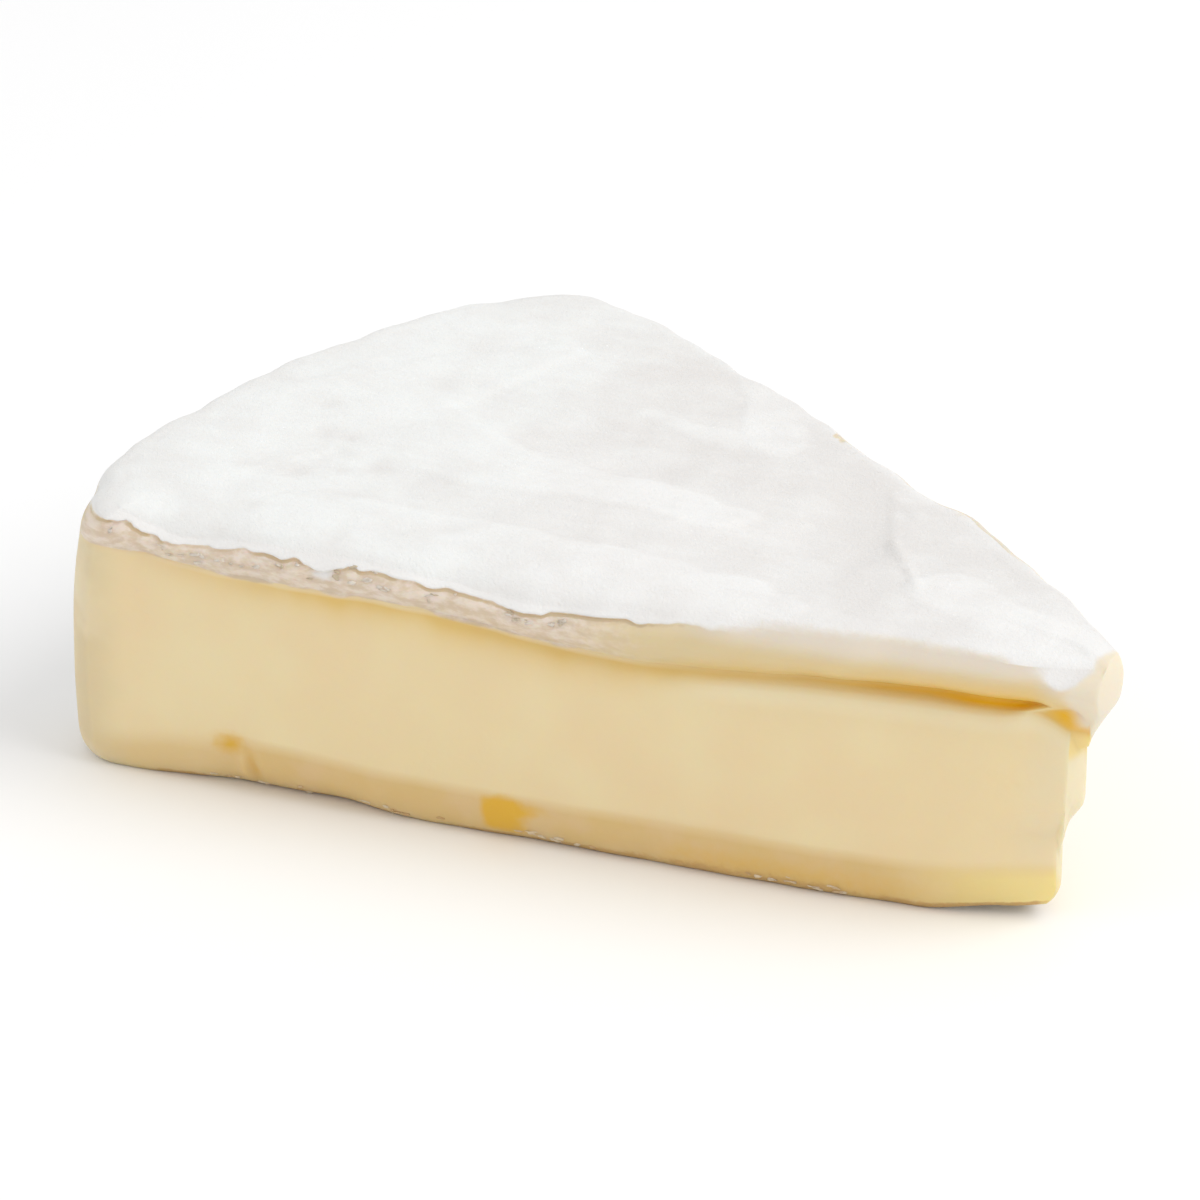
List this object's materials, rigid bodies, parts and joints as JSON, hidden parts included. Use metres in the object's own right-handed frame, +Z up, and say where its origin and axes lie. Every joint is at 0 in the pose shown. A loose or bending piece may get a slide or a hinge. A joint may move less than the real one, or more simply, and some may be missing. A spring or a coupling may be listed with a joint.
{
  "type": "wedge of soft-ripened cheese",
  "caption": "Wedge cut from a round soft-ripened cheese: white-mould rind over a pale, creamy paste, with a blunt tip and a curved rim.",
  "frame": {"origin": "middle of the footprint's box, on the surface that the wedge rests on", "axes": "+X towards the wedge's tip, -X towards the rim of the wheel, +Y towards the back cut face, +Z up"},
  "size_m": [0.129, 0.0904, 0.0358],
  "materials": {
    "cheese": "soft, moist paste on the cut faces and a dry, downy white rind on the top, the rim and the underside"
  },
  "bodies": {
    "root": {"cheese_wedge": "cheese"}
  },
  "joints": []
}
